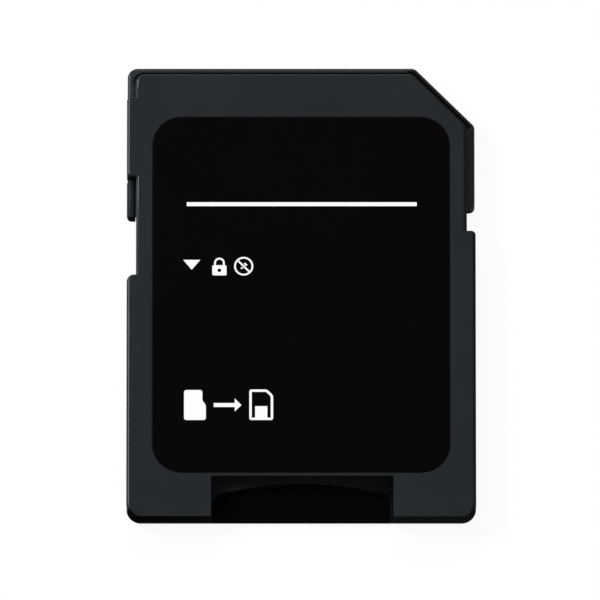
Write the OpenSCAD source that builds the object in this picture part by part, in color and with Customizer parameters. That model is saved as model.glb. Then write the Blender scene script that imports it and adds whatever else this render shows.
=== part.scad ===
// Memory card adapter: a full-size card shell that takes a micro card and carries its contacts
// through to the nine pads of the full-size card.
// X runs across the card, +Y towards the contact edge, +Z out of the label side.
// The origin is the middle of the back face.

/* [Card] */
// Width across the card
card_width = 24; // [23.8:0.1:24.4]
// Length from the mouth to the contact edge
card_length = 32; // [31.8:0.1:33]
// Thickness from the back face to the label side
card_thickness = 2.1; // [2:0.05:2.4]
// Height of the side rails and of the contact end above the back face
flange_thickness = 1.4; // [1.3:0.05:1.5]
// Height of the seam between the two shells
seam_height = 0.7; // [0.65:0.05:0.75]
// Radius of the corners at the mouth
corner_radius = 1; // [0.6:0.1:1.5]
// Radius of the square corner at the contact edge
lead_radius = 0.7; // [0.5:0.1:1]
// Length of the slanted corner along each edge
slant_size = 4.18; // [3.8:0.01:4.2]
// Radius at both ends of the slanted corner
slant_radius = 0.5; // [0.3:0.1:0.8]
// Rounding of the edges on the label side
face_rim = 0.24; // [0.1:0.01:0.25]
// How far that rounding reaches in from the edges that cross the card
face_rim_end = 0.1; // [0.04:0.01:0.2]
// Rounding of the edges on the back
back_rim = 0.2; // [0.1:0.05:0.25]
// Chamfer on each shell along the seam
seam_rim = 0.05; // [0.03:0.01:0.06]

/* [Rails] */
// Width of the rails beside the raised label side
rail_width = 0.6; // [0.5:0.05:0.7]
// Width of the rail along the slanted corner
slant_rail_width = 0.54; // [0.4:0.02:0.7]
// How far the rail beside the slanted corner stands back from the full width
rail_inset = 0.06; // [0.04:0.01:0.12]
// How far the short rail on the lock side stands back from the full width
short_rail_inset = 0.04; // [0.02:0.01:0.12]
// Rounding of the rails' upper edge
rail_rim = 0.2; // [0.05:0.01:0.22]
// Length of the short rail on the lock side, from the contact edge
short_rail_length = 2.2; // [1.8:0.1:3]
// Corner radius of the raised label side at the contact edge
raised_radius = 0.6; // [0.4:0.1:1]

/* [Side notches] */
// Distance of the notch from the contact edge
notch_start = 10.05; // [9.5:0.05:10.5]
// Length of the notch along the edge
notch_length = 1.65; // [1.5:0.05:2.2]
// Radius of the rail's corner at the notch
notch_radius = 0.4; // [0.24:0.02:0.46]
// Distance of the lock recess from the contact edge
recess_start = 7.9; // [7.6:0.05:8.2]
// Length of the lock recess
recess_length = 6.9; // [6.8:0.05:7.4]
// Depth of the lock recess
recess_depth = 0.64; // [0.6:0.02:0.7]
// Radius of the recess corner towards the mouth
recess_radius = 0.5; // [0.3:0.05:0.6]
// Radius of the other corners on the side edges
edge_radius = 0.3; // [0.25:0.05:0.4]

/* [Lock slider] */
// Length of the slider
slider_length = 2.65; // [2.4:0.05:2.7]
// Gap between the slider and the ends and floor of its recess
slider_gap = 0.05; // [0.03:0.01:0.08]
// Gap between the slider and the inner wall of its recess
slider_wall_gap = 0.05; // [0.04:0.01:0.08]
// Width of the step along the slider's inner upper edge
slider_step_width = 0.11; // [0.08:0.01:0.16]
// Depth of that step
slider_step_depth = 0.35; // [0.2:0.05:0.4]
// Distance of the slider from the back face and from the top of the rails
slider_inset = 0.06; // [0.04:0.01:0.1]
// Rounding of the slider's outer edges
slider_radius = 0.28; // [0.15:0.01:0.3]
// Length of the neck that passes through the recess wall
neck_length = 2.4; // [1:0.1:2.5]
// Height of the neck
neck_height = 0.45; // [0.4:0.05:0.5]
// Length of the slider's inner foot
foot_length = 2.5; // [1.8:0.1:2.6]
// Thickness of the slider's inner foot
foot_thickness = 0.35; // [0.3:0.01:0.38]
// Thickness of the wall behind the recess
recess_wall = 0.36; // [0.3:0.02:0.4]

/* [Label] */
// Width of the label
label_width = 20.4; // [19:0.05:21]
// Length of the label
label_length = 25.1; // [23:0.05:25.2]
// Corner radius of the label
label_radius = 2; // [1.5:0.1:3]
// Thickness of the label
label_thickness = 0.1; // [0.05:0.01:0.12]
// Depth of the label's recess
label_recess = 0.12; // [0.1:0.01:0.16]
// Gap around the label
label_gap = 0.06; // [0.04:0.01:0.1]
// Distance of the label from the contact edge
label_start = 3.71; // [3.66:0.01:4.2]
// Thickness of the printed ink
ink_thickness = 0.02; // [0.01:0.01:0.03]
// Length of the printed line
line_length = 15.82; // [12:0.01:18]
// Width of the printed line
line_width = 0.28; // [0.2:0.02:0.5]
// Distance of the printed line from the contact edge
line_start = 9.72; // [8:0.02:12]
// Width of the printed arrow
arrow_width = 1.18; // [0.8:0.01:1.6]
// Length of the printed arrow
arrow_length = 0.7; // [0.6:0.02:1.2]
// Distance of the printed arrow's base from the contact edge
arrow_start = 13.81; // [12:0.01:15]
// Distance of the arrow's tip from the middle of the line
arrow_offset = 7.56; // [6:0.02:8.5]
// Sideways distance of the print from the middle of the card
print_offset = 0.04; // [0:0.01:0.2]

/* [Thumb cut-out] */
// Width of the cut-out in the upper shell
cutout_width = 12.52; // [12.4:0.02:13]
// Depth of the cut-out from the mouth
cutout_depth = 2.94; // [2.4:0.02:2.96]
// Sideways distance of the card bay from the middle of the shell
bay_offset = 0.07; // [0:0.01:0.2]
// Width of the thumb scoop in the floor
scoop_width = 11.9; // [11:0.1:12.2]
// Depth of the scoop from the mouth, at its sides
scoop_side_depth = 1.7; // [1.4:0.1:1.9]
// Rise of the scoop's arched edge
scoop_rise = 0.75; // [0.5:0.05:0.85]
// Corner radius of the scoop
scoop_radius = 0.7; // [0.4:0.1:1]
// How far the scoop is sunk into the floor
scoop_sink = 0.3; // [0.25:0.01:0.4]
// Rounding of the scoop's upper edge
scoop_rim = 0.24; // [0.1:0.02:0.24]

/* [Card bay] */
// Width of the micro card
micro_width = 11; // [10.9:0.05:11.1]
// Width of the micro card's narrow front part
micro_front_width = 9.7; // [9.6:0.05:9.8]
// Length of the micro card
micro_length = 15; // [14.9:0.05:15.1]
// Length of the micro card's narrow front part
micro_front_length = 6.2; // [6:0.1:6.5]
// Thickness of the micro card
micro_thickness = 0.7; // [0.65:0.01:0.75]
// How far the micro card stands in from the mouth
micro_inset = 0.1; // [0:0.05:0.2]
// Gap on each side of the micro card
micro_gap = 0.05; // [0.04:0.01:0.1]
// Gap above the micro card
micro_headroom = 0.1; // [0.06:0.01:0.12]
// Length of the lead-in behind the cut-out
lead_in = 0.8; // [0.5:0.1:1]

/* [Contact strips] */
// Thickness of the contact strips
strip_thickness = 0.15; // [0.12:0.01:0.18]
// Width of a strip and of its spring finger
strip_width = 0.5; // [0.4:0.02:0.55]
// Gap above the strips
strip_headroom = 0.02; // [0.01:0.01:0.03]
// Pitch of the micro card's contacts
finger_pitch = 1.1; // [1.09:0.01:1.11]
// Distance of the first finger from the bay's middle
finger_offset = 3.2; // [3.1:0.05:3.3]
// Length of the spring fingers in front of the strip holder
finger_length = 3.6; // [3.2:0.1:4]
// Height of the fingers' bend above the floor of the bay
finger_lift = 0.3; // [0.2:0.02:0.36]
// Length of the flat on top of the fingers' bend
finger_flat = 0.22; // [0.16:0.02:0.3]
// How far the bend falls off on both sides of its flat
finger_ease = 0.07; // [0.05:0.01:0.09]
// Distance of the bend from the fingers' tips
finger_curl = 0.7; // [0.6:0.05:0.9]
// Room in front of the fingers' tips
finger_room = 0.4; // [0.2:0.1:0.6]
// Depth of the strips' step down to the fingers
finger_drop = 0.25; // [0.22:0.01:0.28]
// Thickness of the floor under the fingers
pocket_floor = 0.25; // [0.2:0.01:0.28]
// Straight length of the strips behind the holder
strip_lead = 0.5; // [0.3:0.1:0.8]
// Length of the strip holder
holder_length = 1.8; // [1.6:0.1:2.2]
// Side margin of the strip holder beyond the outer fingers
holder_margin = 0.5; // [0.4:0.05:0.55]
// Gap around the strip holder
holder_gap = 0.05; // [0.03:0.01:0.08]

/* [Pads] */
// Pitch of the wide pads
pad_pitch = 2.5; // [2.48:0.01:2.52]
// Distance of pad 1 from the middle of the card
pad_1_offset = 6.88; // [6.84:0.01:6.9]
// Distance between pads 6 and 7
pad_7_pitch = 2.43; // [2.4:0.01:2.46]
// Distance between pads 7 and 8
pad_8_pitch = 1.7; // [1.66:0.01:1.72]
// Width of the windows in front of the wide pads
window_width = 1.8; // [1.7:0.02:1.86]
// Width of the window in front of pad 7
window_7_width = 1.4; // [1.3:0.02:1.46]
// Width of the window in front of pad 8
window_8_width = 1.1; // [1:0.02:1.16]
// Length of the windows from the contact edge
window_length = 5.4; // [5:0.1:5.8]
// Length from the contact edge to the far end of window 9
window_9_length = 7.6; // [7.4:0.1:7.8]
// How far the pads reach over the ribs and window ends
pad_overlap = 0.1; // [0.08:0.01:0.12]
// How far the pads reach beyond the far ends of their windows
pad_reach = 0.3; // [0.2:0.05:0.4]
// Length over which a strip widens into its pad
pad_neck = 1.6; // [1.2:0.1:2]
// The same at pad 9, which stands further back
pad_9_neck = 0.4; // [0.3:0.05:0.6]
// Gap between the pads and the wall at the contact edge
pad_gap = 0.05; // [0.03:0.01:0.08]
// Thickness of the wall at the contact edge
front_wall = 0.55; // [0.5:0.01:0.6]
// Width of the link between the two ground pads
link_width = 0.25; // [0.2:0.01:0.28]
// Gap between the link and the pads behind it
link_gap = 0.2; // [0.15:0.01:0.22]

/* [Latch spring] */
// Thickness of the latch spring
latch_thickness = 0.15; // [0.12:0.01:0.18]
// Height of the latch spring
latch_height = 0.6; // [0.5:0.02:0.64]
// Length of the latch spring
latch_length = 5; // [4.6:0.1:5.4]
// Distance of the latch from the micro card's front edge
latch_distance = 8.4; // [8.2:0.1:8.8]
// How far the latch reaches into the bay
latch_reach = 0.35; // [0.2:0.05:0.4]
// Length of the latch spring's nose
latch_nose = 0.6; // [0.5:0.05:0.8]
// Depth of the rounding on the nose
latch_nose_depth = 0.15; // [0.1:0.01:0.2]
// Length of the latch spring's flat ends
latch_foot = 0.65; // [0.5:0.05:0.8]
// Depth of the latch spring's pocket beside the bay
latch_pocket = 0.9; // [0.8:0.05:1]

/* [Hidden] */

shell_grey = [0.153, 0.169, 0.18];
shell_black = [0.04, 0.04, 0.042];
label_black = [0.03, 0.025, 0.027];
ink_white = [1, 1, 1];
contact_gold = [0.83, 0.66, 0.3];
spring_steel = [0.7, 0.7, 0.72];

arc_step = 11;
rim_steps = 3;
cut = 0.5;

side = card_width / 2;
lead = card_length / 2;
rail_x = side - rail_width;
rail_edge = side - rail_inset;
short_rail_edge = side - short_rail_inset;
notch_high = lead - notch_start;
notch_low = notch_high - notch_length;
recess_high = lead - recess_start;
recess_low = recess_high - recess_length;
recess_x = side - recess_depth;
short_rail_y = lead - short_rail_length;

micro_front = -lead + micro_inset + micro_length;
bay_left = bay_offset - micro_width / 2 - micro_gap;
bay_right = bay_offset + micro_width / 2 + micro_gap;
bay_key = bay_offset - micro_width / 2 + micro_front_width + micro_gap;
bay_step = micro_front - micro_front_length;
bay_top = seam_height + micro_thickness + micro_headroom;
cutout_left = bay_offset - cutout_width / 2;
cutout_right = bay_offset + cutout_width / 2;
cutout_end = -lead + cutout_depth;

holder_end = micro_front + holder_length;
holder_left = finger_x(7) - strip_width / 2 - holder_margin;
holder_right = finger_x(0) + strip_width / 2 + holder_margin;
pocket_end = micro_front - finger_length - finger_room;
strip_top = seam_height + strip_thickness + strip_headroom;
fan_start = holder_end + strip_lead;
front_inner = lead - front_wall;
link_end = front_inner - pad_gap;
pad_end = link_end - link_width - link_gap;
pad_9_end = slant_limit(pad_x(9) + window_width / 2 + pad_overlap) - link_width - pad_gap;

latch_y = micro_front - latch_distance;
latch_wall = bay_right + latch_pocket;

slider_high = recess_high - slider_gap;
slider_y = slider_high - slider_length / 2;
slider_travel = recess_length - slider_length - 2 * slider_gap;
foot_x = recess_x - recess_wall - slider_gap;

function finger_x(i) = bay_offset + finger_offset - finger_pitch * i;

// Middle of a pad across the card
function pad_x(number) =
    number == 9 ? pad_1_offset + pad_pitch
    : number <= 6 ? pad_1_offset - pad_pitch * (number - 1)
    : number == 7 ? pad_x(6) - pad_7_pitch
    : pad_x(7) - pad_8_pitch;

function window_size(number) =
    number == 7 ? window_7_width
    : number == 8 ? window_8_width
    : window_width;

function window_y(number) = lead - (number == 9 ? window_9_length : window_length);

function pad_y(number) = window_y(number) - pad_reach;

function fan_end(number) = pad_y(number) - (number == 9 ? pad_9_neck : pad_neck);

// How far towards the contact edge the wall along the slanted corner lets a part at x reach
function slant_limit(x) = min(front_inner, side + lead - slant_size - x - front_wall);

function unit(v) = v / norm(v);

function short_turn(angle) = angle > 180 ? angle - 360 : angle < -180 ? angle + 360 : angle;

// Points that round corner b of the path a, b, c
function corner_arc(a, b, c, radius) =
    radius == 0
        ? [b]
        : let (
            u = unit(a - b),
            v = unit(c - b),
            half = acos(u * v) / 2,
            middle = b + unit(u + v) * radius / sin(half),
            from = b + u * radius / tan(half) - middle,
            to = b + v * radius / tan(half) - middle,
            start = atan2(from.y, from.x),
            sweep = short_turn(atan2(to.y, to.x) - start),
            steps = max(2, ceil(abs(sweep) / arc_step))
        )
        [for (i = [0:steps])
            let (a = start + sweep * i / steps)
            middle + radius * [cos(a), sin(a)]];

// Outline through corners given as [x, y, radius]
function rounded(corners) =
    let (n = len(corners), at = [for (c = corners) [c.x, c.y]])
    [for (i = [0:n - 1])
        each corner_arc(at[(i + n - 1) % n], at[i], at[(i + 1) % n], corners[i][2])];

// The outline, anticlockwise, moved inwards by a distance, or by one along X and one along Y
function inset(outline, distance) =
    let (n = len(outline), d = is_num(distance) ? [distance, distance] : distance)
    [for (i = [0:n - 1])
        let (
            a = unit(outline[i] - outline[(i + n - 1) % n]),
            b = unit(outline[(i + 1) % n] - outline[i]),
            na = [-a.y, a.x],
            nb = [-b.y, b.x],
            move = (na + nb) / (1 + na * nb)
        )
        outline[i] + [d.x * move.x, d.y * move.y]];

// Outline of a band of even thickness along an open path
function band(path, thickness) =
    let (
        n = len(path),
        normals = [for (i = [0:n - 2]) let (d = unit(path[i + 1] - path[i])) [-d.y, d.x]],
        sides = [for (i = [0:n - 1])
            let (a = normals[max(i - 1, 0)], b = normals[min(i, n - 2)])
            (a + b) / (1 + a * b) * thickness / 2]
    )
    concat([for (i = [0:n - 1]) path[i] + sides[i]], [for (i = [n - 1:-1:0]) path[i] - sides[i]]);

// Outline of both shells at the rails
base_outline = rounded([
    [-side, -lead, corner_radius],
    [side, -lead, corner_radius],
    [side, notch_low, edge_radius],
    [rail_x, notch_low, 0],
    [rail_x, notch_high, 0],
    [rail_edge, notch_high, notch_radius],
    [rail_edge, lead - slant_size + rail_inset, slant_radius],
    [side - slant_size, lead, slant_radius],
    [-short_rail_edge, lead, lead_radius],
    [-short_rail_edge, short_rail_y, 0],
    [-side, short_rail_y, 0],
    [-side, recess_high, edge_radius],
    [-recess_x, recess_high, 0],
    [-recess_x, recess_low, 0],
    [-side, recess_low, recess_radius]
]);

// Outline of the raised label side
raised_slant = side + lead - slant_size - slant_rail_width * sqrt(2);
raised_lead = lead - rail_width;
raised_outline = rounded([
    [-side, -lead, corner_radius],
    [side, -lead, corner_radius],
    [side, notch_low, edge_radius],
    [rail_x, notch_low, 0],
    [rail_x, raised_slant - rail_x, slant_radius],
    [raised_slant - raised_lead, raised_lead, slant_radius],
    [-rail_x, raised_lead, raised_radius],
    [-rail_x, short_rail_y, 0],
    [-side, short_rail_y, edge_radius],
    [-side, recess_high, edge_radius],
    [-recess_x, recess_high, 0],
    [-recess_x, recess_low, 0],
    [-side, recess_low, recess_radius]
]);

// Ring round an outline, with its section given as [distance inwards, height]
module outline_ring(outline, section) {
    n = len(outline);
    m = len(section);
    points = [for (s = section) each [for (p = inset(outline, s[0])) [p.x, p.y, s[1]]]];
    faces = [for (j = [0:m - 1], i = [0:n - 1])
        [j * n + i, j * n + (i + 1) % n, ((j + 1) % m) * n + (i + 1) % n, ((j + 1) % m) * n + i]];
    polyhedron(points, faces, convexity = 8);
}

// What rounding takes off an upper rim, with its reach along X and Y as shares of its radius
module upper_rim_ring(outline, top, radius, steps = rim_steps, reach = [1, 1]) {
    arc = [for (i = [0:steps])
        let (a = 90 * i / steps)
        [reach * radius * (1 - cos(a)), top - radius * (1 - sin(a))]];
    outside = [[reach * radius, top + radius], [-radius, top + radius], [-radius, top - radius]];
    outline_ring(outline, concat(arc, outside));
}

// What rounding takes off a lower rim
module lower_rim_ring(outline, bottom, radius, steps = rim_steps) {
    arc = [for (i = [steps:-1:0])
        let (a = 90 * i / steps)
        [radius * (1 - cos(a)), bottom + radius * (1 - sin(a))]];
    outside = [[-radius, bottom + radius], [-radius, bottom - radius], [radius, bottom - radius]];
    outline_ring(outline, concat(arc, outside));
}

// Solid on a convex outline, with its side given from the bottom up as [distance inwards, height]
module shaped_prism(outline, section) {
    n = len(outline);
    m = len(section);
    points = [for (s = section) each [for (p = inset(outline, s[0])) [p.x, p.y, s[1]]]];
    sides = [for (j = [0:m - 2], i = [0:n - 1])
        [j * n + i, (j + 1) * n + i, (j + 1) * n + (i + 1) % n, j * n + (i + 1) % n]];
    bottom = [for (i = [0:n - 1]) i];
    top = [for (i = [n - 1:-1:0]) (m - 1) * n + i];
    polyhedron(points, concat(sides, [bottom, top]), convexity = 4);
}

module prism(outline, bottom, top) {
    translate([0, 0, bottom]) linear_extrude(top - bottom) polygon(outline);
}

module box(low, high) {
    translate(low) cube(high - low);
}

function rounded_box(low, high, radius) =
    rounded([
        [low.x, low.y, radius],
        [high.x, low.y, radius],
        [high.x, high.y, radius],
        [low.x, high.y, radius]
    ]);

// Arched thumb scoop, open at the mouth
module scoop() {
    half = scoop_width / 2;
    shoulder = -lead + scoop_side_depth;
    arch_radius = (half * half + scoop_rise * scoop_rise) / (2 * scoop_rise);
    arch_turn = asin(half / arch_radius);
    arch = [for (i = [-3:3])
        let (a = arch_turn * i / 3)
        [
            bay_offset - arch_radius * sin(a),
            shoulder + scoop_rise - arch_radius * (1 - cos(a)),
            abs(i) == 3 ? scoop_radius : 0
        ]];
    mouth = [[bay_offset - half, -lead - cut, 0], [bay_offset + half, -lead - cut, 0]];
    flare = [for (i = [0:rim_steps])
        let (a = 90 * i / rim_steps)
        [-scoop_rim * (1 - cos(a)), seam_height - scoop_rim * (1 - sin(a))]];
    shaped_prism(
        rounded(concat(mouth, arch)),
        concat([[0, seam_height - scoop_sink]], flare, [[-scoop_rim, seam_height + cut]])
    );
}

module windows() {
    for (number = [1:9])
        let (half = window_size(number) / 2)
            box(
                [pad_x(number) - half, window_y(number), -cut],
                [pad_x(number) + half, lead + cut, seam_height + cut]
            );
}

module lower_shell() {
    color(shell_black)
        difference() {
            prism(base_outline, 0, seam_height);
            lower_rim_ring(base_outline, 0, back_rim);
            upper_rim_ring(base_outline, seam_height, seam_rim, 1);
            windows();
            box(
                [holder_left - holder_gap, pocket_end, pocket_floor],
                [holder_right + holder_gap, holder_end + holder_gap, seam_height + cut]
            );
            scoop();
        }
}

// Room for the micro card and the strip holder
module bay() {
    floor_z = seam_height - cut;
    back = holder_end + holder_gap;
    prism(
        [
            [cutout_left, cutout_end],
            [cutout_right, cutout_end],
            [bay_right, cutout_end + lead_in],
            [bay_right, bay_step - (bay_right - bay_key)],
            [bay_key, bay_step],
            [bay_key, back],
            [bay_left, back],
            [bay_left, cutout_end + lead_in]
        ],
        floor_z, bay_top
    );
    box([cutout_left, -lead - cut, floor_z], [cutout_right, cutout_end, card_thickness + cut]);
    box(
        [bay_right - cut, latch_y - latch_length / 2 - slider_gap, floor_z],
        [latch_wall, latch_y + latch_length / 2 + slider_gap, seam_height + latch_height + slider_gap]
    );
}

// Shallow room over the strips and pads
module strip_room() {
    right = pad_x(9) + window_width / 2 + 2 * pad_overlap;
    left = pad_x(8) - window_8_width / 2 - 2 * pad_overlap;
    prism(
        [
            [holder_left, holder_end],
            [holder_right, holder_end],
            [right, fan_end(9)],
            [right, slant_limit(right)],
            [side + lead - slant_size - front_wall - front_inner, front_inner],
            [left, front_inner],
            [left, fan_end(8)]
        ],
        seam_height - cut, strip_top
    );
}

// Slot for the slider's neck and channel for its foot, with room for the whole travel
module slider_room() {
    neck_half = neck_length / 2 + slider_gap;
    foot_half = foot_length / 2 + slider_gap;
    foot_end = -foot_x + foot_thickness + slider_gap;
    low = slider_y - slider_travel;
    top = seam_height + neck_height + 2 * slider_gap;
    bottom = seam_height - cut;
    box([-recess_x - cut, low - neck_half, bottom], [-foot_x + cut / 2, slider_y + neck_half, top]);
    box([-foot_x - slider_gap, low - foot_half, bottom], [foot_end, slider_y + foot_half, top]);
}

module upper_shell() {
    color(shell_grey)
        difference() {
            union() {
                difference() {
                    prism(base_outline, seam_height, flange_thickness);
                    lower_rim_ring(base_outline, seam_height, seam_rim, 1);
                    upper_rim_ring(base_outline, flange_thickness, rail_rim);
                }
                difference() {
                    prism(raised_outline, seam_height + seam_rim, card_thickness);
                    upper_rim_ring(
                        raised_outline, card_thickness, face_rim, reach = [1, face_rim_end / face_rim]
                    );
                }
            }
            bay();
            strip_room();
            slider_room();
            prism(
                inset(label_outline, -label_gap),
                card_thickness - label_recess, card_thickness + cut
            );
        }
}

label_high = lead - label_start;
label_outline = rounded_box(
    [-label_width / 2, label_high - label_length],
    [label_width / 2, label_high],
    label_radius
);
label_low = card_thickness - label_recess;
label_top = label_low + label_thickness;

module label() {
    color(label_black) prism(label_outline, label_low, label_top);
}

module label_print() {
    line_y = lead - line_start;
    arrow_x = print_offset - arrow_offset;
    arrow_y = lead - arrow_start;
    color(ink_white) {
        box(
            [print_offset - line_length / 2, line_y - line_width, label_top],
            [print_offset + line_length / 2, line_y, label_top + ink_thickness]
        );
        prism(
            [
                [arrow_x, arrow_y - arrow_length],
                [arrow_x + arrow_width / 2, arrow_y],
                [arrow_x - arrow_width / 2, arrow_y]
            ],
            label_top, label_top + ink_thickness
        );
    }
}

module lock_slider() {
    half = slider_length / 2;
    bottom = slider_inset;
    top = flange_thickness - slider_inset;
    inner = -recess_x - slider_wall_gap;
    neck_low = seam_height + slider_gap;
    neck_top = neck_low + neck_height;
    foot_end = -foot_x + foot_thickness;
    color(shell_grey)
        union() {
            intersection() {
                prism(
                    rounded([
                        [-side, slider_y - half, slider_radius],
                        [inner, slider_y - half, 0],
                        [inner, slider_y + half, 0],
                        [-side, slider_y + half, slider_radius]
                    ]),
                    bottom, top
                );
                translate([0, slider_y + half, 0])
                    rotate([90, 0, 0])
                        linear_extrude(2 * half)
                            polygon(rounded([
                                [-side, bottom, slider_radius],
                                [inner, bottom, 0],
                                [inner, top - slider_step_depth, 0],
                                [inner - slider_step_width, top - slider_step_depth, 0],
                                [inner - slider_step_width, top, 0],
                                [-side, top, slider_radius]
                            ]));
            }
            box(
                [inner - slider_wall_gap, slider_y - neck_length / 2, neck_low],
                [foot_end - foot_thickness / 2, slider_y + neck_length / 2, neck_top]
            );
            box(
                [-foot_x, slider_y - foot_length / 2, neck_low],
                [foot_end, slider_y + foot_length / 2, neck_top]
            );
        }
}

// Side view of a spring finger, from the strip's flat run through the holder to the curled tip
function finger_path(flat_end) =
    let (
        high = seam_height + strip_thickness / 2,
        low = high - finger_drop,
        crown = seam_height + finger_lift,
        tip = micro_front - finger_length,
        bend = tip + finger_curl
    )
    [
        [flat_end, high],
        [micro_front + holder_length * 0.7, high],
        [micro_front + holder_length * 0.4, low],
        [micro_front - finger_length * 0.15, low],
        [bend + 1.5 * finger_flat, crown - finger_ease],
        [bend + finger_flat / 2, crown],
        [bend - finger_flat / 2, crown],
        [bend - 1.5 * finger_flat, crown - finger_ease],
        [tip, low]
    ];

module finger(i, flat_end) {
    translate([finger_x(i) - strip_width / 2, 0, 0])
        rotate([90, 0, 90])
            linear_extrude(strip_width) polygon(band(finger_path(flat_end), strip_thickness));
}

// Plan of the strip from the holder to its pad
function strip_plan(i, number, end) =
    let (
        half = strip_width / 2,
        pad_half = window_size(number) / 2 + pad_overlap,
        start = holder_end - holder_margin / 2,
        turn = fan_end(number)
    )
    [
        [finger_x(i) - half, start],
        [finger_x(i) + half, start],
        [finger_x(i) + half, fan_start],
        [pad_x(number) + half, turn],
        [pad_x(number) + pad_half, pad_y(number)],
        [pad_x(number) + pad_half, end],
        [pad_x(number) - pad_half, end],
        [pad_x(number) - pad_half, pad_y(number)],
        [pad_x(number) - half, turn],
        [finger_x(i) - half, fan_start]
    ];

module strip(i, number, end = pad_end) {
    union() {
        finger(i, holder_end);
        prism(strip_plan(i, number, end), seam_height, seam_height + strip_thickness);
    }
}

module strip_dat2() { color(contact_gold) strip(0, 9, pad_9_end); }
module strip_dat3() { color(contact_gold) strip(1, 1); }
module strip_cmd() { color(contact_gold) strip(2, 2); }
module strip_vdd() { color(contact_gold) strip(3, 4); }
module strip_clk() { color(contact_gold) strip(4, 5); }
module strip_dat0() { color(contact_gold) strip(6, 7); }
module strip_dat1() { color(contact_gold) strip(7, 8); }

// The ground strip feeds pad 6 and, by a link in front of pads 4 and 5, pad 3
module strip_vss() {
    pad_half = window_width / 2 + pad_overlap;
    top = seam_height + strip_thickness;
    color(contact_gold)
        union() {
            strip(5, 6, link_end);
            box([pad_x(6), link_end - link_width, seam_height], [pad_x(3) + pad_half, link_end, top]);
            box([pad_x(3) - pad_half, pad_y(3), seam_height], [pad_x(3) + pad_half, link_end, top]);
        }
}

// Moulded bar that holds the strips and stops the micro card
module strip_holder() {
    color(shell_black)
        difference() {
            box([holder_left, micro_front, pocket_floor], [holder_right, holder_end, bay_top]);
            for (i = [0:7]) {
                finger(i, holder_end + cut);
            }
        }
}

// Leaf spring whose bend drops into the notch in the micro card's side
module latch_spring() {
    back = latch_wall - latch_thickness / 2;
    half = latch_length / 2;
    nose = bay_right - latch_reach + latch_thickness / 2;
    path = [
        [back, latch_y - half],
        [back, latch_y - half + latch_foot],
        [nose + latch_nose_depth, latch_y - latch_nose / 2],
        [nose, latch_y],
        [nose + latch_nose_depth, latch_y + latch_nose / 2],
        [back, latch_y + half - latch_foot],
        [back, latch_y + half]
    ];
    color(spring_steel) prism(band(path, latch_thickness), seam_height, seam_height + latch_height);
}

lower_shell();
upper_shell();
label();
label_print();
lock_slider();
strip_holder();
strip_dat2();
strip_dat3();
strip_cmd();
strip_vdd();
strip_clk();
strip_vss();
strip_dat0();
strip_dat1();
latch_spring();
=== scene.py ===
import math

import bmesh
import bpy
from mathutils import Matrix, Vector


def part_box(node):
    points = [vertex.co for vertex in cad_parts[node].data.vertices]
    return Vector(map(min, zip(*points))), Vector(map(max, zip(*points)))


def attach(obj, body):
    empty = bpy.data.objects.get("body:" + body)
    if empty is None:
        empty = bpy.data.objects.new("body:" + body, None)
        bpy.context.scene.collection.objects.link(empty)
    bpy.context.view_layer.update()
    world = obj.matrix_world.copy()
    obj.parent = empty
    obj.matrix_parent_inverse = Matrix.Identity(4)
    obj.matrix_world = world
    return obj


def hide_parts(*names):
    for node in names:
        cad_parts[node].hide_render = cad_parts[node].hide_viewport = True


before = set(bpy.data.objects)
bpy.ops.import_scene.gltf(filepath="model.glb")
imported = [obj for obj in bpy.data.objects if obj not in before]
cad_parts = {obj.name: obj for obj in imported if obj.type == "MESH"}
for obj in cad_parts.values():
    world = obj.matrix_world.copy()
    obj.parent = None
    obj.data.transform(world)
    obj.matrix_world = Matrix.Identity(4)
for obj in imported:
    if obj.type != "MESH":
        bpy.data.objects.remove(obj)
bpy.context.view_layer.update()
mm = 0.001
print("frame loaded")


def inMetres(lengths):
    return [length * mm for length in lengths]


cameraSettings = {
    "aim": (-0.08, -0.655, 2.1),  # millimetres
    "elevation": 76,  # degrees above the floor
    "distance": 1400,
    "frameWidth": 41.225,  # width of the picture at the card
    "sensor": 36,
    "clip": (50, 20000),
}


def addCamera(settings):
    data = bpy.data.cameras.new("camera")
    data.sensor_width = settings["sensor"]
    data.lens = settings["sensor"] * settings["distance"] / settings["frameWidth"]
    data.clip_start, data.clip_end = inMetres(settings["clip"])
    camera = bpy.data.objects.new("camera", data)
    bpy.context.scene.collection.objects.link(camera)
    tilt = math.radians(settings["elevation"])
    back = Vector((0, -math.cos(tilt), math.sin(tilt)))
    camera.location = (Vector(settings["aim"]) + back * settings["distance"]) * mm
    camera.rotation_euler = (math.radians(90 - settings["elevation"]), 0, 0)
    bpy.context.scene.camera = camera


addCamera(cameraSettings)
bpy.context.scene.view_settings.view_transform = "Standard"
print("camera placed")


class Signal:  # a socket that takes part in sums
    def __init__(self, bench, socket):
        self.bench, self.socket = bench, socket

    def maths(self, operation, first, second):
        return self.bench.node("ShaderNodeMath", {"operation": operation}, {0: first, 1: second})

    def __add__(self, other):
        return self.maths("ADD", self, other)

    def __radd__(self, other):
        return self.maths("ADD", other, self)

    def __sub__(self, other):
        return self.maths("SUBTRACT", self, other)

    def __rsub__(self, other):
        return self.maths("SUBTRACT", other, self)

    def __mul__(self, other):
        return self.maths("MULTIPLY", self, other)

    def __rmul__(self, other):
        return self.maths("MULTIPLY", other, self)

    def __pow__(self, other):
        return self.maths("POWER", self, other)

    def __rpow__(self, other):
        return self.maths("POWER", other, self)

    def __gt__(self, other):
        return self.maths("GREATER_THAN", self, other)

    def larger(self, other):
        return self.maths("MAXIMUM", self, other)


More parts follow.
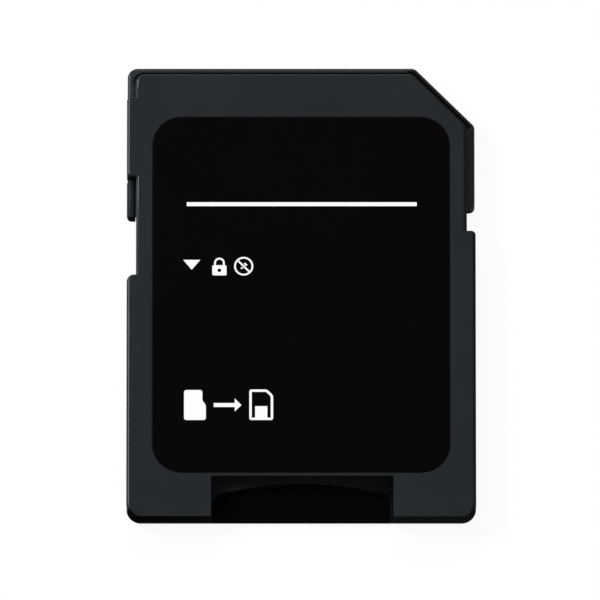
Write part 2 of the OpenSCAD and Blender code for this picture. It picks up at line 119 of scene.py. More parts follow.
class NodeBench:
    def __init__(self, tree):
        self.tree = tree

    def node(self, kind, settings, inputs, output=0):
        made = self.tree.nodes.new(kind)
        for name, value in settings.items():
            setattr(made, name, value)
        for name, value in inputs.items():
            if isinstance(value, Signal):
                self.tree.links.new(value.socket, made.inputs[name])
            else:
                made.inputs[name].default_value = value
        return Signal(self, made.outputs[output])

    def seen(self, *rays):  # 1 for the kinds of ray that are named
        path = self.node("ShaderNodeLightPath", {}, {}).socket.node.outputs
        found = Signal(self, path[f"Is {rays[0]} Ray"])
        for ray in rays[1:]:
            found = found.larger(Signal(self, path[f"Is {ray} Ray"]))
        return found


class Finish(NodeBench):
    def __init__(self, name, **constants):
        self.material = bpy.data.materials.new(name)
        self.material.use_nodes = True
        super().__init__(self.material.node_tree)
        self.shader = self.tree.nodes["Principled BSDF"]
        for socket, value in constants.items():
            self.shader.inputs[socket.replace("_", " ")].default_value = value
        self.place = self.node("ShaderNodeTexCoord", {}, {}, "Object")

    def noise(self, size, detail=2, roughness=0.5, stretch=None):  # patches in millimetres
        return self.node(
            "ShaderNodeTexNoise",
            {"noise_dimensions": "3D"},
            {
                "Vector": self.stretched(stretch) if stretch else self.place,
                "Scale": 1 / (size * mm), "Detail": detail, "Roughness": roughness,
            },
            "Fac",
        )

    def stretched(self, factors):
        return self.node(
            "ShaderNodeMapping", {"vector_type": "POINT"}, {"Vector": self.place, "Scale": factors}
        )

    def axes(self):
        made = self.node("ShaderNodeSeparateXYZ", {}, {"Vector": self.place})
        outputs = made.socket.node.outputs
        return tuple(Signal(self, outputs[axis]) for axis in "XYZ")

    def span(self, value, low, high, toLow=0.0, toHigh=1.0):
        return self.node(
            "ShaderNodeMapRange",
            {"clamp": True},
            {
                "Value": value, "From Min": low, "From Max": high,
                "To Min": toLow, "To Max": toHigh,
            },
        )

    def blend(self, share, first, second):
        inputs = {"Factor": share, 6: first, 7: second}  # the two colours have only numbers
        return self.node("ShaderNodeMix", {"data_type": "RGBA"}, inputs, 2)

    def attribute(self, name):
        return self.node("ShaderNodeAttribute", {"attribute_name": name}, {}, "Fac")

    def bump(self, height, depth, strength=1.0, under=None):  # depth in millimetres
        inputs = {"Height": height, "Distance": depth * mm, "Strength": strength}
        if under:
            inputs["Normal"] = under
        return self.node("ShaderNodeBump", {}, inputs, "Normal")

    def wire(self, **links):
        for name, value in links.items():
            self.tree.links.new(value.socket, self.shader.inputs[name.replace("_", " ")])
        return self.material


def linear(red, green, blue):  # colour as a picture editor shows it, 0 to 255
    return tuple(
        v / 12.92 if v <= 0.04045 else ((v + 0.055) / 1.055) ** 2.4
        for v in (red / 255, green / 255, blue / 255)
    ) + (1,)


def shade(colour, factor):
    return tuple(c * factor for c in colour[:3]) + (1,)


def shades(colour, factors):
    return [shade(colour, factor) for factor in factors]


resinIor = 1.5
wide, narrow = (0.3, 0.7), (0.35, 0.65)  # how much of a noise's range is used

plasticSettings = {  # for every moulded piece; sizes in millimetres
    "grainNoise": (3, 0.6),  # detail and roughness
    "cloud": 6, "cloudDetail": 3,
    "flow": 1.6, "flowNoise": (4, 0.6), "flowStretch": (1, 0.25, 1),  # faint marks along the card
    "cloudShare": 0.6, "flowShare": 0.4, "tones": (0.93, 1.06),
    "speckShare": 0.25, "speckTone": 1.35,
    "rub": 0.9, "rubNoise": (4, 0.65), "rubRange": (0.46, 0.66),  # rubbed places on the rims
    "rubShare": 0.3, "rubTone": 1.9, "rubPolish": 0.04,
    "smoother": 0.03, "rougher": 0.04, "rimPolish": 0.12,
    # tone of the painted shade that a mask lays on the colour
    "paintedShadeTone": 0.04,
    "rimRelief": 0.9,  # rims are smoother
}

finishSettings = {  # grain and relief in millimetres
    "shell": {
        "colour": linear(25, 30, 33), "grain": 0.09, "relief": 0.0035,
        "roughness": 0.4, "specular": 0.2,
    },
    "slider": {
        "colour": linear(27, 31, 34), "grain": 0.07, "relief": 0.003,
        "roughness": 0.42, "specular": 0.1,
    },
    # painted light: the rails are painted lighter than the shell they are moulded with, standing
    # in for light where the step shades them
    "rail": {
        "colour": linear(46, 50, 52), "grain": 0.09, "relief": 0.0035,
        "roughness": 0.45, "specular": 0.04,
    },
    "wall": {
        "colour": linear(30, 31, 32), "grain": 0.07, "relief": 0.003,
        "roughness": 0.6, "specular": 0.0,
    },
    "floor": {
        "colour": linear(25, 26, 27), "grain": 0.07, "relief": 0.003,
        "roughness": 0.5, "specular": 0.03,
    },
    # painted light: the sunk floor is painted lighter than the rest of the lower shell, standing
    # in for light in the cut-out's shade
    "sunk": {
        "colour": linear(38, 39, 40), "grain": 0.07, "relief": 0.003,
        "roughness": 0.5, "specular": 0.02,
    },
    # painted shade: the scoop is painted near black, standing in for the shade in it
    "scoop": {
        "colour": linear(4, 4, 4), "grain": 0.05, "relief": 0.002,
        "roughness": 0.35, "specular": 0.02,
    },
}


def mouldedPlastic(name, settings, paintedShadeMask=None, paintedShadeSettings=None):  # the mask paints shade into the colour
    shared = plasticSettings
    finish = Finish(name, Specular_IOR_Level=settings["specular"], IOR=resinIor)
    grain = finish.noise(settings["grain"], *shared["grainNoise"])
    cloud = finish.noise(shared["cloud"], shared["cloudDetail"])
    flow = finish.noise(shared["flow"], *shared["flowNoise"], shared["flowStretch"])
    edge = finish.attribute("edge")
    colour = settings["colour"]
    tone = finish.span(cloud * shared["cloudShare"] + flow * shared["flowShare"], *narrow)
    body = finish.blend(tone, *shades(colour, shared["tones"]))
    speck = finish.span(grain, *wide) * shared["speckShare"]
    body = finish.blend(speck, body, shade(colour, shared["speckTone"]))
    rub = finish.noise(shared["rub"], *shared["rubNoise"])
    rub = finish.span(rub, *shared["rubRange"]) * edge
    body = finish.blend(rub * shared["rubShare"], body, shade(colour, shared["rubTone"]))
    smooth = settings["roughness"] - shared["smoother"]
    coarse = settings["roughness"] + shared["rougher"]
    rough = finish.span(cloud, *wide, smooth, coarse)
    rough = rough - edge * shared["rimPolish"] - rub * shared["rubPolish"]
    if paintedShadeMask:
        paintedShade = paintedShadeMask(finish, paintedShadeSettings)
        body = finish.blend(paintedShade, body, shade(colour, shared["paintedShadeTone"]))
    relief = finish.bump(grain * (1 - edge * shared["rimRelief"]), settings["relief"])
    return finish.wire(Base_Color=body, Roughness=rough, Normal=relief)


stepFootShadeSettings = {  # painted shade at the foot of the step, on the rails; in millimetres
    "corner": (-10.8, 14.8), "cornerRadius": 0.6,  # of the raised side beside the short rail
    "turn": (14.6, 15.3),  # from the side round to the contact edge
    "foot": (0.08, 0.22),  # dark up to the first, clear from the second
    "leadShift": 0.15,  # further out along the contact edge
    "sideShare": 0.55,  # and lighter along the side
    "inside": -0.02,  # nothing is dark on the raised side of this
    "slant": 23.06,  # where the slanted step's line crosses an axis
    "slantFoot": (0.36, 0.54),
    "slantEnd": 6.95, "slantLean": 0.41,  # the dark line ends on a leaning line
}


def stepFootPaintedShade(finish, settings):  # painted shade: a dark line painted at the foot of the step, on the rails
    x, y, _ = finish.axes()
    middleX, middleY = inMetres(settings["corner"])
    inside = settings["inside"] * mm
    across, along = (middleX - x).larger(0), (y - middleY).larger(0)
    outside = (across * across + along * along) ** 0.5 - settings["cornerRadius"] * mm
    turn = finish.span(y, *inMetres(settings["turn"]))
    shifted = outside - turn * settings["leadShift"] * mm
    near = finish.span(shifted, *inMetres(settings["foot"]), 1, 0) * (outside > inside)
    near = near * (turn * (1 - settings["sideShare"]) + settings["sideShare"])
    outside = (x + y - settings["slant"] * mm) * math.sqrt(0.5)
    slant = finish.span(outside, *inMetres(settings["slantFoot"]), 1, 0) * (outside > inside)
    return near.larger(slant * (y - x * settings["slantLean"] > settings["slantEnd"] * mm))


mouthShadeSettings = {  # painted shade on the walls at the mouth; in millimetres
    "end": -15.4,  # the walls nearer the mouth than this are dull
    "clear": -15.3,  # and the colour is plain from here on
    "sides": (-10, 8), "shares": (0.7, 0.0),  # painted shade darkest at the left
    "seam": 0.7, "seamWidth": 0.01,
    "lowerReach": 0.45,  # further up the corners below the seam
}


def mouthPaintedShade(finish, settings):  # painted shade: the shells' ends at the mouth are painted darker than their other walls
    x, y, z = finish.axes()
    seam = inMetres((settings["seam"] - settings["seamWidth"], settings["seam"]))
    lowered = y - finish.span(z, *seam, settings["lowerReach"] * mm, 0)
    share = finish.span(x, *inMetres(settings["sides"]), *settings["shares"])
    return finish.span(lowered, *inMetres((settings["end"], settings["clear"])), 1, 0) * share


sunkShadeSettings = {  # painted shade on the sunk floor beside the scoop; in millimetres
    "side": (-1, 5.0),  # painted shade darkens the floor beside the scoop towards the right
    "fall": (-13.9, -13.15), "fallShare": 0.83,
    "front": (-15.0, -14.2), "frontShare": 0.45,  # and towards the mouth
}


# painted shade on the sunk floor: darker towards the right, away from the cut-out's back wall, and
# towards the mouth
def scoopSidePaintedShade(finish, settings):
    x, y, _ = finish.axes()
    right = finish.span(x, *inMetres(settings["side"]))
    fall = right * finish.span(y, *inMetres(settings["fall"]), settings["fallShare"], 0)
    front = finish.span(y, *inMetres(settings["front"]), settings["frontShare"], 0)
    return fall.larger(front)


filmSettings = {  # sizes and reliefs in millimetres
    "colour": linear(4, 2, 3), "roughness": (0.31, 0.39), "specular": 0.04,
    "cloud": 7, "tones": (0.85, 1.15),
    "fibre": 0.14, "fibreNoise": (3, 0.6), "fibreRange": (0.5, 0.75),
    "fibreShare": 0.2, "fibreTone": 1.8,
    "edgeShare": 0.5, "edgeTone": 3.0,
    "fibreRelief": 0.002, "cloudRelief": 0.012, "cloudStrength": 0.6,
}


def labelFilm(settings):
    finish = Finish("label_film", Specular_IOR_Level=settings["specular"], IOR=resinIor)
    colour = settings["colour"]
    fibre = finish.noise(settings["fibre"], *settings["fibreNoise"])
    cloud = finish.noise(settings["cloud"])
    body = finish.blend(finish.span(cloud, *wide), *shades(colour, settings["tones"]))
    thread = finish.span(fibre, *settings["fibreRange"]) * settings["fibreShare"]
    body = finish.blend(thread, body, shade(colour, settings["fibreTone"]))
    edge = finish.attribute("edge") * settings["edgeShare"]
    body = finish.blend(edge, body, shade(colour, settings["edgeTone"]))
    rough = finish.span(fibre, *wide, *settings["roughness"])
    under = finish.bump(fibre, settings["fibreRelief"])
    relief = finish.bump(cloud, settings["cloudRelief"], settings["cloudStrength"], under)
    return finish.wire(Base_Color=body, Roughness=rough, Normal=relief)


inkSettings = {  # sizes and relief in millimetres
    "colour": linear(255, 254, 254), "roughness": (0.45, 0.6), "specular": 0.3,
    "dot": 0.09, "dotRange": (0.2, 0.9), "dotShare": 0.5, "dotTone": 0.93,
    "pinhole": 0.12, "pinholeNoise": (3, 0.6), "pinholeRange": (0.68, 0.78),
    "pinholeShare": 0.5, "pinholeTone": 0.5,
    "roughRange": (0.1, 0.8), "relief": 0.004,
}


def whiteInk(settings):  # screen-printed in fine dots
    finish = Finish("white_ink", Specular_IOR_Level=settings["specular"], IOR=resinIor)
    colour = settings["colour"]
    dots = {"Vector": finish.place, "Scale": 1 / (settings["dot"] * mm)}
    screen = finish.node("ShaderNodeTexVoronoi", {"feature": "F1"}, dots, "Distance")
    pinhole = finish.noise(settings["pinhole"], *settings["pinholeNoise"])
    pinhole = finish.span(pinhole, *settings["pinholeRange"]) * settings["pinholeShare"]
    between = finish.span(screen, *settings["dotRange"]) * settings["dotShare"]
    body = finish.blend(between, colour, shade(colour, settings["dotTone"]))
    body = finish.blend(pinhole, body, shade(colour, settings["pinholeTone"]))
    rough = finish.span(screen, *settings["roughRange"], *settings["roughness"])
    relief = finish.bump(screen, settings["relief"])
    return finish.wire(Base_Color=body, Roughness=rough, Normal=relief)


goldSettings = {  # sizes and relief in millimetres
    "colour": (0.87, 0.62, 0.24, 1), "roughness": (0.16, 0.34),
    "cloud": 1.2, "cloudNoise": (3, 0.6), "tones": (0.86, 1.05),
    "rolled": 0.12, "rolledNoise": (3, 0.7), "rolledStretch": (1, 0.04, 1),  # along the strips
    "wiped": 0.25, "wipedNoise": (2, 0.6), "wipedStretch": (1, 0.06, 1),
    "wipedRange": (0.6, 0.75), "wipedShare": 0.35, "wipedColour": (0.75, 0.66, 0.46, 1),
    "rolledShare": 0.5, "relief": 0.003, "strength": 0.8,
}


def platedGold(settings):
    finish = Finish("plated_gold", Metallic=1.0)
    cloud = finish.noise(settings["cloud"], *settings["cloudNoise"])
    rolled = finish.noise(settings["rolled"], *settings["rolledNoise"], settings["rolledStretch"])
    wiped = finish.noise(settings["wiped"], *settings["wipedNoise"], settings["wipedStretch"])
    tones = shades(settings["colour"], settings["tones"])
    body = finish.blend(finish.span(cloud, *narrow), *tones)
    worn = finish.span(wiped, *settings["wipedRange"]) * settings["wipedShare"]
    body = finish.blend(worn, body, settings["wipedColour"])
    share = settings["rolledShare"]
    rough = finish.span(cloud * (1 - share) + rolled * share, *narrow, *settings["roughness"])
    relief = finish.bump(rolled, settings["relief"], settings["strength"])
    return finish.wire(Base_Color=body, Roughness=rough, Normal=relief)


steelSettings = {  # sizes and relief in millimetres
    "colour": (0.6, 0.59, 0.57, 1), "roughness": (0.22, 0.42),
    "brushed": 0.1, "brushedNoise": (3, 0.7), "brushedStretch": (1, 0.05, 0.6),
    "cloud": 0.8, "cloudDetail": 3, "tones": (0.88, 1.08),
    "relief": 0.003, "strength": 0.7,
}


def springSteel(settings):
    finish = Finish("spring_steel", Metallic=1.0)
    stretch = settings["brushedStretch"]
    brushed = finish.noise(settings["brushed"], *settings["brushedNoise"], stretch)
    cloud = finish.noise(settings["cloud"], settings["cloudDetail"])
    tones = shades(settings["colour"], settings["tones"])
    body = finish.blend(finish.span(cloud, *wide), *tones)
    rough = finish.span(brushed, *wide, *settings["roughness"])
    relief = finish.bump(brushed, settings["relief"], settings["strength"])
    return finish.wire(Base_Color=body, Roughness=rough, Normal=relief)


shellPlastic = mouldedPlastic("shell_plastic", finishSettings["shell"])
# the rails' plastic, with painted light and a painted shade line at the step's foot
railPlasticPaintedLightAndShade = mouldedPlastic("rail_plastic_painted_light_and_shade", finishSettings["rail"], stepFootPaintedShade, stepFootShadeSettings)
# the walls' plastic, with painted shade on the walls at the mouth
wallPlasticPaintedShadeAtMouth = mouldedPlastic("wall_plastic_painted_shade_at_mouth", finishSettings["wall"], mouthPaintedShade, mouthShadeSettings)
sliderPlastic = mouldedPlastic("slider_plastic", finishSettings["slider"])
floorPlastic = mouldedPlastic("floor_plastic", finishSettings["floor"])
# the sunk floor's plastic, with painted light and painted shade
sunkPlasticPaintedLightAndShade = mouldedPlastic("sunk_plastic_painted_light_and_shade", finishSettings["sunk"], scoopSidePaintedShade, sunkShadeSettings)
# the scoop's plastic, painted near black as shade
scoopPaintedShade = mouldedPlastic("scoop_plastic_painted_shade", finishSettings["scoop"])
labelMaterial = labelFilm(filmSettings)
inkMaterial = whiteInk(inkSettings)
goldMaterial = platedGold(goldSettings)
steelMaterial = springSteel(steelSettings)
print("finishes made")


pieceSettings = {
    "smooth": 35,  # edges sharper than this are shaded sharp, in degrees
    "weld": 0.0005,  # corners nearer than this are one, in millimetres
    "flat": 0.5,  # faces that turn less than this are one, in degrees
}


def sharpEdges(bm, degrees):
    limit = math.radians(degrees)
    return [e for e in bm.edges if len(e.link_faces) == 2 and e.calc_face_angle(0) > limit]


def finishedPiece(bm, name, body, materials):
    bmesh.ops.recalc_face_normals(bm, faces=bm.faces)
    for face in bm.faces:
        face.smooth = True
    for edge in bm.edges:
        edge.smooth = edge.calc_face_angle(0) < math.radians(pieceSettings["smooth"])
    mesh = bpy.data.meshes.new(name)
    bm.to_mesh(mesh)
    bm.free()
    piece = bpy.data.objects.new(name, mesh)
    bpy.context.scene.collection.objects.link(piece)
    for material in materials:
        mesh.materials.append(material)
    weighted = piece.modifiers.new("weighted", "WEIGHTED_NORMAL")
    weighted.keep_sharp = True
    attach(piece, body)
    return piece


def mergedCopy(node):
    bm = bmesh.new()
    bm.from_mesh(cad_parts[node].data)
    bmesh.ops.remove_doubles(bm, verts=bm.verts, dist=pieceSettings["weld"] * mm)
    flat = math.radians(pieceSettings["flat"])
    bmesh.ops.dissolve_limit(bm, angle_limit=flat, verts=bm.verts, edges=bm.edges)
    return bm


def bevelEdges(bm, edges, radius, segments=2):  # rounds them and marks the new faces
    mark = bm.faces.layers.float.new("edge")
    made = bmesh.ops.bevel(
        bm, geom=edges, offset=radius * mm, offset_type="OFFSET", segments=segments,
        profile=0.5, affect="EDGES", material=-1, clamp_overlap=True,
    )
    for face in made["faces"]:
        face[mark] = 1.0
    return mark


shellSettings = {  # in millimetres
    "edge": 0.03,  # rounding of the moulded edges
    "sharpest": 40,  # only edges sharper than this are rounded, in degrees
    "rimArea": 4,  # slanting faces smaller than this are rims, in square millimetres
    "level": 0.99,  # a normal with a larger part than this points straight up or sideways
    "leaning": 0.02,  # how far an end wall's normal turns to the mouth
    "mouthwards": 0.3,  # and any other wall's
    "slanted": 0.3,  # both parts of a slanted wall's normal
    "rightwards": 0.2,
    "tolerance": 0.01,
    "floorTop": 0.7,
    "scoopMouth": -13.2,  # everything sunk nearer the mouth than this is the scoop
    "scoopLow": 0.35,
    "scoopHalf": 6.3,
    "railTop": 1.4,
    "rightRim": 11,
    "notchEnd": 4.28,
    "ledgeTop": 1.1,  # the slider's ledge and neck lie below this
    "ledge": 0.45,  # and this far in from the card's side
}


def markRims(bm, mark, settings):
    for face in bm.faces:
        slanting = max(abs(part) for part in face.normal) < settings["level"]
        if slanting and face.calc_area() < settings["rimArea"] * mm * mm:
            face[mark] = 1.0


def dullWalls(bm, settings, index, reach=0.0):  # the walls that face the mouth
    end = (mouthShadeSettings["end"] + reach) * mm
    for face in bm.faces:
        normal = face.normal
        beyond = face.calc_center_median().y < end and normal.y < -settings["leaning"]
        if (beyond or normal.y < -settings["mouthwards"]) and abs(normal.z) < settings["level"]:
            face.material_index = index


def addUpperShell(settings):
    materials = [shellPlastic, railPlasticPaintedLightAndShade, wallPlasticPaintedShadeAtMouth, floorPlastic]
    _, rail, wall, floor = range(len(materials))
    bm = mergedCopy("upper_shell")
    mark = bevelEdges(bm, sharpEdges(bm, settings["sharpest"]), settings["edge"])
    markRims(bm, mark, settings)
    railTop, rightRim, notchEnd = inMetres(
        (settings["railTop"] + settings["tolerance"], settings["rightRim"], settings["notchEnd"])
    )
    for face in bm.faces:
        middle, normal = face.calc_center_median(), face.normal
        onRail = middle.z < railTop
        slanted = min(normal.x, normal.y) > settings["slanted"]
        onRight = normal.x > settings["rightwards"] and middle.x > rightRim
        if onRail and (normal.z > settings["level"] or slanted):
            face.material_index = rail
        if onRight and middle.y < notchEnd:
            face.material_index = wall
        elif not onRail and (onRight or slanted):
            face.material_index = floor
    dullWalls(bm, settings, wall)
    for face in bm.faces:  # the notch's wall under the rail
        middle = face.calc_center_median()
        if middle.x > rightRim and middle.y > notchEnd and face.material_index == wall:
            face.material_index = rail
    piece = finishedPiece(bm, "upper_shell_moulding", "housing", materials)
    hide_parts("upper_shell")


def addLowerShell(settings):
    materials = [floorPlastic, scoopPaintedShade, wallPlasticPaintedShadeAtMouth, sunkPlasticPaintedLightAndShade]
    _, scoop, wall, sunk = range(len(materials))
    bm = mergedCopy("lower_shell")
    mark = bevelEdges(bm, sharpEdges(bm, settings["sharpest"]), settings["edge"])
    markRims(bm, mark, settings)
    dullWalls(bm, settings, wall, mouthShadeSettings["lowerReach"])
    floorTop, tolerance = inMetres((settings["floorTop"], settings["tolerance"]))
    scoopMouth, scoopHalf, scoopLow = inMetres(
        (settings["scoopMouth"], settings["scoopHalf"], settings["scoopLow"])
    )
    for face in bm.faces:
        middle = face.calc_center_median()
        inScoop = middle.y < scoopMouth and abs(middle.x) < scoopHalf and middle.z > scoopLow
        if face.normal.z > settings["level"] and abs(middle.z - floorTop) < tolerance:
            face.material_index = sunk
        elif inScoop:
            face[mark] = 0.0  # no rubbed edges down there
            face.material_index = scoop
    piece = finishedPiece(bm, "lower_shell_moulding", "housing", materials)
    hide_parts("lower_shell")


def addLockSlider(settings):
    materials = [sliderPlastic, wallPlasticPaintedShadeAtMouth]
    _, wall = range(len(materials))
    bm = mergedCopy("lock_slider")
    bevelEdges(bm, sharpEdges(bm, settings["sharpest"]), settings["edge"])
    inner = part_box("upper_shell")[0].x + settings["ledge"] * mm
    for face in bm.faces:
        middle = face.calc_center_median()
        if middle.x > inner and middle.z < settings["ledgeTop"] * mm:
            face.material_index = wall
    dullWalls(bm, settings, wall)
    piece = finishedPiece(bm, "lock_slider_moulding", "slider", materials)
    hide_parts("lock_slider")


addUpperShell(shellSettings)
addLowerShell(shellSettings)
addLockSlider(shellSettings)
print("shells and slider dressed")


labelSettings = {  # in millimetres
    "cornerRadius": 2, "cornerSegments": 14,
    "edge": 0.02, "rimSharp": 57,  # only edges sharper than this are rounded, in degrees
    "topBand": 0.001,
}


def roundedSheet(bm, low, high, radius, segments):
    verts = bmesh.ops.create_grid(bm, x_segments=1, y_segments=1, size=0.5)["verts"]
    middle = ((low.x + high.x) / 2, (low.y + high.y) / 2, low.z)
    bmesh.ops.scale(bm, vec=(high.x - low.x, high.y - low.y, 1), verts=verts)
    bmesh.ops.translate(bm, vec=middle, verts=verts)
    bmesh.ops.bevel(
        bm, geom=verts, offset=radius * mm, offset_type="OFFSET", segments=segments,
        profile=0.5, affect="VERTICES", material=-1,
    )


def raisedBy(bm, height, **options):
    raised = bmesh.ops.extrude_face_region(bm, geom=bm.faces[:], **options)
    lifted = [v for v in raised["geom"] if isinstance(v, bmesh.types.BMVert)]
    bmesh.ops.translate(bm, vec=(0, 0, height), verts=lifted)


def addLabel(settings):
    low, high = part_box("label")
    bm = bmesh.new()
    roundedSheet(bm, low, high, settings["cornerRadius"], settings["cornerSegments"])
    raisedBy(bm, high.z - low.z)
    bmesh.ops.recalc_face_normals(bm, faces=bm.faces)
    top = high.z - settings["topBand"] * mm
    rim = [e for e in sharpEdges(bm, settings["rimSharp"]) if all(v.co.z > top for v in e.verts)]
    bevelEdges(bm, rim, settings["edge"])
    piece = finishedPiece(bm, "label_sheet", "housing", [labelMaterial])
    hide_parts("label")


addLabel(labelSettings)
print("label dressed")


signSettings = {  # in millimetres
    "padlock": {
        "middle": (-5.62, 1.45), "width": 0.98, "height": 0.72, "corner": 0.1,
        "keyhole": 0.13, "keyholeSegments": 20,
        "shackleInner": 0.24, "shackleOuter": 0.37, "shackleSteps": 16, "leg": 0.16,
    },
    "noWriting": {
        "middle": (-3.95, 1.74), "outer": 0.66, "inner": 0.54, "ringSteps": 40,
        "slash": 0.12, "overlap": 0.02,  # the bar reaches into the ring
        "gap": 0.06,  # between the bar and the pencil
        "pencilWidth": 0.24, "pencilLength": 0.5, "pencilTip": 0.2, "pencilPoint": 0.04,
        "lean": -45,  # degrees
    },
    "microCard": {
        "corner": (-8.04, -9.14), "width": 1.5, "height": 2.12,
        "ear": 0.24, "earHeight": 0.78, "radius": 0.16,
    },
    "arrow": {"from": -6.0, "to": -4.1, "level": -8.08, "shaft": 0.28, "head": 0.92},
    "fullCard": {
        "corner": (-3.56, -9.14), "width": 1.64, "height": 2.16,
        "slant": 0.42, "radius": 0.14, "line": 0.17,
        "slot": (0.42, 0.98),  # half its width, and its top above the corner
    },
}


def corneredFace(bm, corners):  # a flat face through corners given in millimetres
    return bm.faces.new([bm.verts.new((x * mm, y * mm, 0)) for x, y in corners])


def rectangle(bm, left, low, right, high):
    return corneredFace(bm, [(left, low), (right, low), (right, high), (left, high)])


def roundCorners(bm, face, radius, segments=4):
    bmesh.ops.bevel(
        bm, geom=list(face.verts), offset=radius * mm, offset_type="OFFSET", segments=segments,
        profile=0.5, affect="VERTICES", material=-1,
    )


def sweptBand(bm, middle, inner, outer, degrees, steps):  # part of a flat ring, from the right
    centre = Vector((*middle, 0)) * mm
    ends = [bm.verts.new(centre + Vector((reach * mm, 0, 0))) for reach in (inner, outer)]
    edge = bm.edges.new(ends)
    bmesh.ops.spin(
        bm, geom=ends + [edge], cent=centre, axis=(0, 0, 1), angle=math.radians(degrees),
        steps=steps, use_merge=degrees == 360,
    )


def drawPadlock(bm, settings):
    x, y = settings["middle"]
    half, tall = settings["width"] / 2, settings["height"] / 2
    low, high = y - tall, y + tall
    body = rectangle(bm, x - half, low, x + half, high)
    roundCorners(bm, body, settings["corner"])
    rim = bm.edges[:]
    radius, segments = settings["keyhole"] * mm, settings["keyholeSegments"]
    hole = bmesh.ops.create_circle(bm, segments=segments, radius=radius)["verts"]
    bmesh.ops.translate(bm, vec=(x * mm, y * mm, 0), verts=hole)
    bmesh.ops.delete(bm, geom=bm.faces[:], context="FACES_ONLY")
    bmesh.ops.bridge_loops(bm, edges=rim + list({e for v in hole for e in v.link_edges}))
    top = high + settings["leg"]
    inner, outer = settings["shackleInner"], settings["shackleOuter"]
    sweptBand(bm, (x, top), inner, outer, 180, settings["shackleSteps"])
    for side in (-1, 1):
        left, right = sorted((x + side * inner, x + side * outer))
        rectangle(bm, left, high, right, top)


def drawNoWriting(bm, settings):
    x, y = settings["middle"]
    sweptBand(bm, (x, y), settings["inner"], settings["outer"], 360, settings["ringSteps"])
    reach, slash = settings["inner"] + settings["overlap"], settings["slash"] / 2
    half, length = settings["pencilWidth"] / 2, settings["pencilLength"] / 2
    gap, wood = slash + settings["gap"], y - length + settings["pencilTip"]
    point = y - length - settings["pencilPoint"]
    parts = [
        rectangle(bm, x - reach, y - slash, x + reach, y + slash),
        rectangle(bm, x - half, y + gap, x + half, y + length),
        rectangle(bm, x - half, wood, x + half, y - gap),
        corneredFace(bm, [(x, point), (x + half, wood), (x - half, wood)]),
    ]
    turn = Matrix.Rotation(math.radians(settings["lean"]), 3, "Z")
    verts = [v for part in parts for v in part.verts]
    bmesh.ops.rotate(bm, verts=verts, cent=Vector((x, y, 0)) * mm, matrix=turn)


def drawMicroCard(bm, settings):
    left, low = settings["corner"]
    right, high = left + settings["width"], low + settings["height"]
    shoulder, inner = high - settings["earHeight"], right - settings["ear"]
    card = corneredFace(bm, [
        (left, low), (right, low), (right, shoulder - settings["ear"]),
        (inner, shoulder), (inner, high), (left, high),
    ])
    roundCorners(bm, card, settings["radius"])


def drawArrow(bm, settings):
    start, end, level = settings["from"], settings["to"], settings["level"]
    half, shaft = settings["head"] / 2, settings["shaft"] / 2
    neck = end - half
    corneredFace(bm, [
        (start, level - shaft), (neck, level - shaft), (neck, level - half), (end, level),
        (neck, level + half), (neck, level + shaft), (start, level + shaft),
    ])


def drawFullCard(bm, settings):
    left, low = settings["corner"]
    right, high = left + settings["width"], low + settings["height"]
    slant, line = settings["slant"], settings["line"]
    card = corneredFace(
        bm, [(left, low), (right, low), (right, high - slant), (right - slant, high), (left, high)]
    )
    roundCorners(bm, card, settings["radius"])
    card = max(bm.faces, key=lambda f: f.calc_area())
    bmesh.ops.inset_region(
        bm, faces=[card], thickness=line * mm, use_boundary=True, use_even_offset=True
    )
    bmesh.ops.delete(bm, geom=[card], context="FACES_ONLY")
    width, height = settings["slot"]
    middle = (left + right) / 2
    rectangle(bm, middle - width, low + line, middle + width, low + height)


def printSign(name, drawings):
    low, high = (corner.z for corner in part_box("label_print"))
    whole = bmesh.new()
    for sign, draw in drawings.items():
        bm = bmesh.new()
        draw(bm, signSettings[sign])
        part = bpy.data.meshes.new(sign)
        bm.to_mesh(part)
        bm.free()
        whole.from_mesh(part)
        bpy.data.meshes.remove(part)
    bmesh.ops.recalc_face_normals(whole, faces=whole.faces)
    bmesh.ops.reverse_faces(whole, faces=[f for f in whole.faces if f.normal.z > 0])
    bmesh.ops.translate(whole, vec=(0, 0, low), verts=whole.verts)
    raisedBy(whole, high - low, use_keep_orig=True)
    finishedPiece(whole, name, "housing", [inkMaterial])


printSign("lock_sign", {"padlock": drawPadlock, "noWriting": drawNoWriting})
printSign(
    "adapter_sign", {"microCard": drawMicroCard, "arrow": drawArrow, "fullCard": drawFullCard}
)
print("signs printed")


nodeMaterials = {name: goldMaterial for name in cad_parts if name.startswith("strip_")}
nodeMaterials["strip_holder"] = floorPlastic
nodeMaterials["latch_spring"] = steelMaterial
nodeMaterials["label_print"] = inkMaterial
for node, material in nodeMaterials.items():
    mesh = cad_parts[node].data
    mesh.materials.clear()
    mesh.materials.append(material)
print("metal and print finished")


studioSettings = {
    "world": 0.35,  # light of the background on the card
    "floorRadius": 4.0, "floorSegments": 48,
    "floorPaint": 0.4, "floorRoughness": 0.9, "floorSpecular": 0.1,
    "floorGlow": 0.93,  # the rest of the floor's white takes the shadow
    "lamps": {  # placed in metres, power in watts
        "key": {"from": (-0.5, 0.24, 0.5), "size": 0.3, "power": 4.3},
        "top": {"from": (-0.08, 0.55, 0.46), "size": 0.3, "power": 1.3},
    },
}
white = (1, 1, 1, 1)


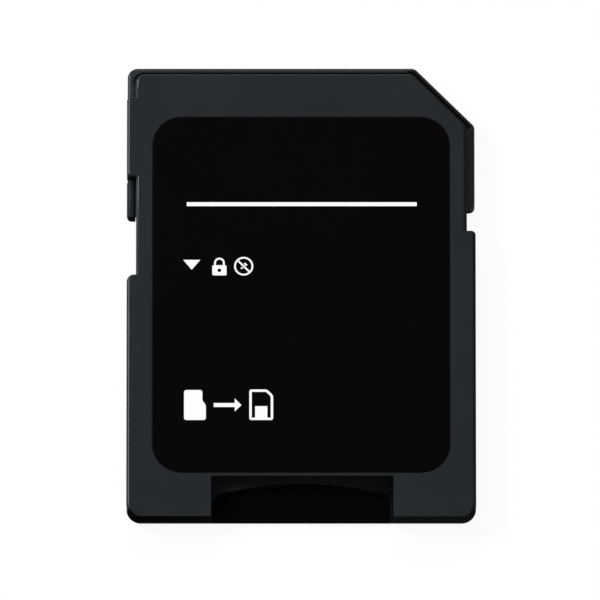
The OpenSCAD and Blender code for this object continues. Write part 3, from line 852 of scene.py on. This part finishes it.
def addSky(settings):
    world = bpy.data.worlds.new("studio")
    world.use_nodes = True
    bpy.context.scene.world = world
    bench = NodeBench(world.node_tree)
    sky = world.node_tree.nodes["Background"]
    sky.inputs["Color"].default_value = white
    strength = bench.seen("Camera", "Transmission") * (1 - settings["world"]) + settings["world"]
    bench.tree.links.new(strength.socket, sky.inputs["Strength"])  # white where it is seen


def addLamps(settings):
    for name, lamp in settings["lamps"].items():
        data = bpy.data.lights.new(name, "AREA")
        data.shape, data.size, data.energy = "DISK", lamp["size"], lamp["power"]
        light = bpy.data.objects.new(name, data)
        bpy.context.scene.collection.objects.link(light)
        light.location = lamp["from"]
        light.rotation_euler = (-Vector(lamp["from"])).to_track_quat("-Z", "Y").to_euler()


def floorPaint(settings):  # white where it is seen, and grey where it lights the card
    paint = settings["floorPaint"]
    finish = Finish(
        "floor_paint", Base_Color=(paint, paint, paint, 1),
        Roughness=settings["floorRoughness"], Specular_IOR_Level=settings["floorSpecular"],
    )
    bright = finish.node("ShaderNodeBsdfDiffuse", {}, {"Color": white}, "BSDF")
    glow = finish.node("ShaderNodeEmission", {}, {"Color": white, "Strength": 1.0}, "Emission")
    share = finish.seen("Camera") * settings["floorGlow"]
    shown = finish.node("ShaderNodeMixShader", {}, {0: share, 1: bright, 2: glow}, "Shader")
    plain = Signal(finish, finish.shader.outputs["BSDF"])
    visible = finish.seen("Camera", "Glossy", "Transmission")
    surface = finish.node("ShaderNodeMixShader", {}, {0: visible, 1: plain, 2: shown}, "Shader")
    finish.tree.links.new(surface.socket, finish.tree.nodes["Material Output"].inputs["Surface"])
    return finish.material


def addFloor(settings):
    bm = bmesh.new()
    radius, segments = settings["floorRadius"], settings["floorSegments"]
    bmesh.ops.create_circle(bm, cap_ends=True, segments=segments, radius=radius)
    mesh = bpy.data.meshes.new("floor")
    bm.to_mesh(mesh)
    bm.free()
    mesh.materials.append(floorPaint(settings))
    floor = bpy.data.objects.new("floor", mesh)
    bpy.context.scene.collection.objects.link(floor)


addSky(studioSettings)
addLamps(studioSettings)
addFloor(studioSettings)
print("studio lit")
